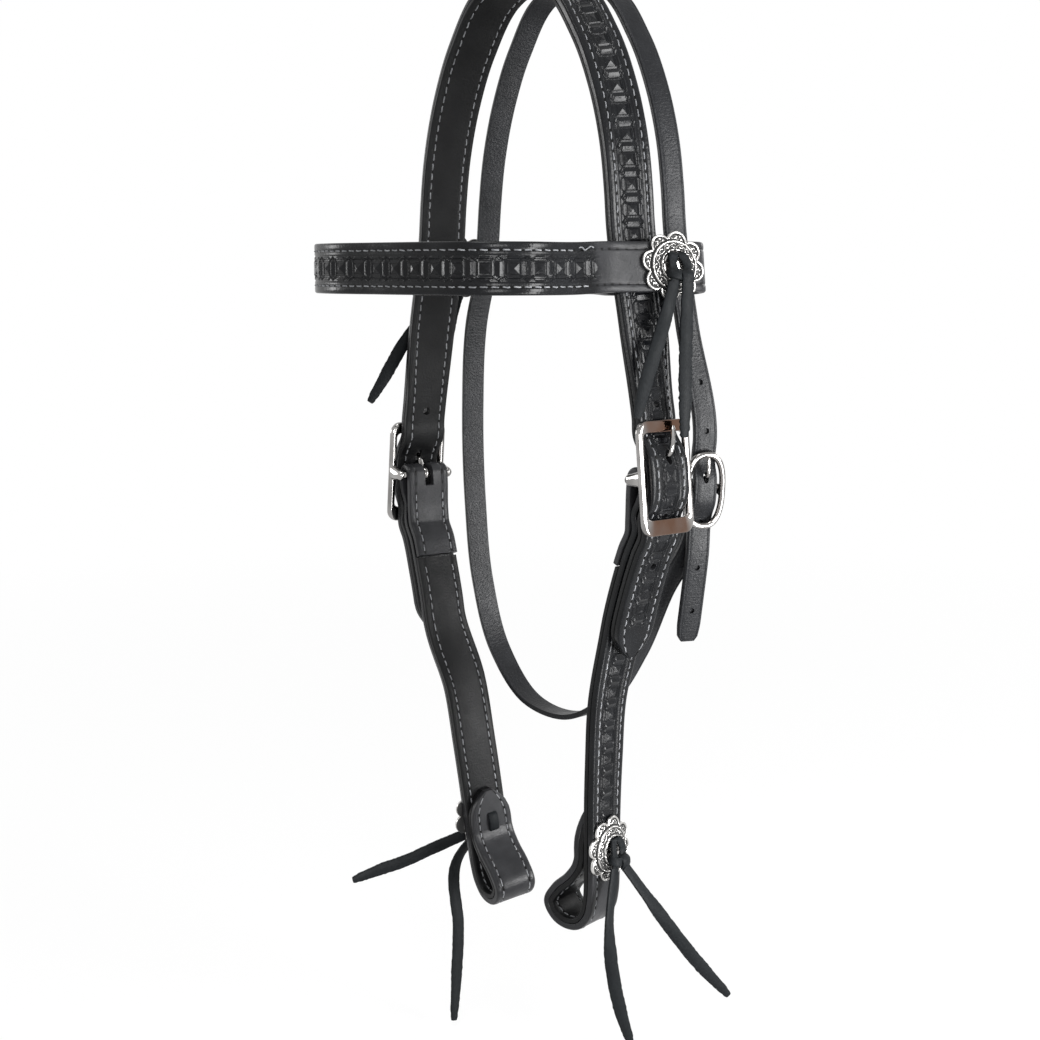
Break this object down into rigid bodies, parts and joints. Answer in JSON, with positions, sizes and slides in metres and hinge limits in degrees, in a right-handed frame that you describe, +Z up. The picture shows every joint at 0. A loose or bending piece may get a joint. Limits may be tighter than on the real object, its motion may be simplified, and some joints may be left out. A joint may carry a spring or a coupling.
{
  "type": "western headstall",
  "caption": "Black leather western headstall with tooled browband, buckled cheekpieces, throat latch, engraved conchos and tied bit loops.",
  "frame": {"origin": "underside of the crown strap at the top of its arch, where it rests on the poll", "axes": "+Z up, +X the horse's near (left) side, -Y the forehead"},
  "size_m": [0.2044, 0.1731, 0.6033],
  "materials": {
    "black_leather": "tooled and stitched black bridle leather, satin",
    "lining_leather": "plain black lining leather, matte",
    "string_leather": "soft charcoal string leather, matte, cut edges",
    "buckle_steel": "polished stainless steel",
    "engraved_silver": "antique silver, dark recesses"
  },
  "bodies": {
    "crown": {"browband": "black_leather", "browband_lining": "lining_leather", "crown_lining": "lining_leather", "crown_strap": "black_leather", "far_brow_concho": "engraved_silver", "far_brow_concho_string": "string_leather", "far_brow_tail_front": "string_leather", "far_brow_tail_rear": "string_leather", "far_cheek_buckle_center_bar": "buckle_steel", "far_cheek_buckle_frame": "buckle_steel", "near_brow_concho": "engraved_silver", "near_brow_concho_string": "string_leather", "near_brow_tail_front": "string_leather", "near_brow_tail_rear": "string_leather", "near_cheek_buckle_center_bar": "buckle_steel", "near_cheek_buckle_frame": "buckle_steel", "throat_buckle_center_bar": "buckle_steel", "throat_buckle_frame": "buckle_steel", "throat_latch": "black_leather"},
    "near_cheek": {"near_bit_concho": "engraved_silver", "near_bit_concho_string": "string_leather", "near_bit_tail_front": "string_leather", "near_bit_tail_rear": "string_leather", "near_cheek_lining": "lining_leather", "near_cheekpiece": "black_leather"},
    "far_cheek": {"far_bit_concho": "engraved_silver", "far_bit_concho_string": "string_leather", "far_bit_tail_front": "string_leather", "far_bit_tail_rear": "string_leather", "far_cheek_lining": "lining_leather", "far_cheekpiece": "black_leather"},
    "near_tongue": {"near_cheek_buckle_tongue": "buckle_steel"},
    "far_tongue": {"far_cheek_buckle_tongue": "buckle_steel"},
    "throat_tongue": {"throat_buckle_tongue": "buckle_steel"}
  },
  "joints": [
    {"name": "near_cheek_swing", "type": "hinge", "parent": "crown", "child": "near_cheek", "pos_m": [0.084, 0, -0.25], "axis": [0.1392, 0.9903, 0], "range_deg": [0, 5]},
    {"name": "far_cheek_swing", "type": "hinge", "parent": "crown", "child": "far_cheek", "pos_m": [-0.084, 0, -0.262], "axis": [-0.2419, -0.9703, 0], "range_deg": [0, 5]},
    {"name": "near_tongue_turn", "type": "hinge", "parent": "crown", "child": "near_tongue", "pos_m": [0.084, 0, -0.25], "axis": [0.1392, 0.9903, 0], "range_deg": [0, 5]},
    {"name": "far_tongue_turn", "type": "hinge", "parent": "crown", "child": "far_tongue", "pos_m": [-0.084, 0, -0.262], "axis": [-0.2419, -0.9703, 0], "range_deg": [0, 5]},
    {"name": "throat_tongue_turn", "type": "hinge", "parent": "crown", "child": "throat_tongue", "pos_m": [0.0905, 0.031, -0.2575], "axis": [0.5, 0.866, 0], "range_deg": [0, 5]}
  ]
}
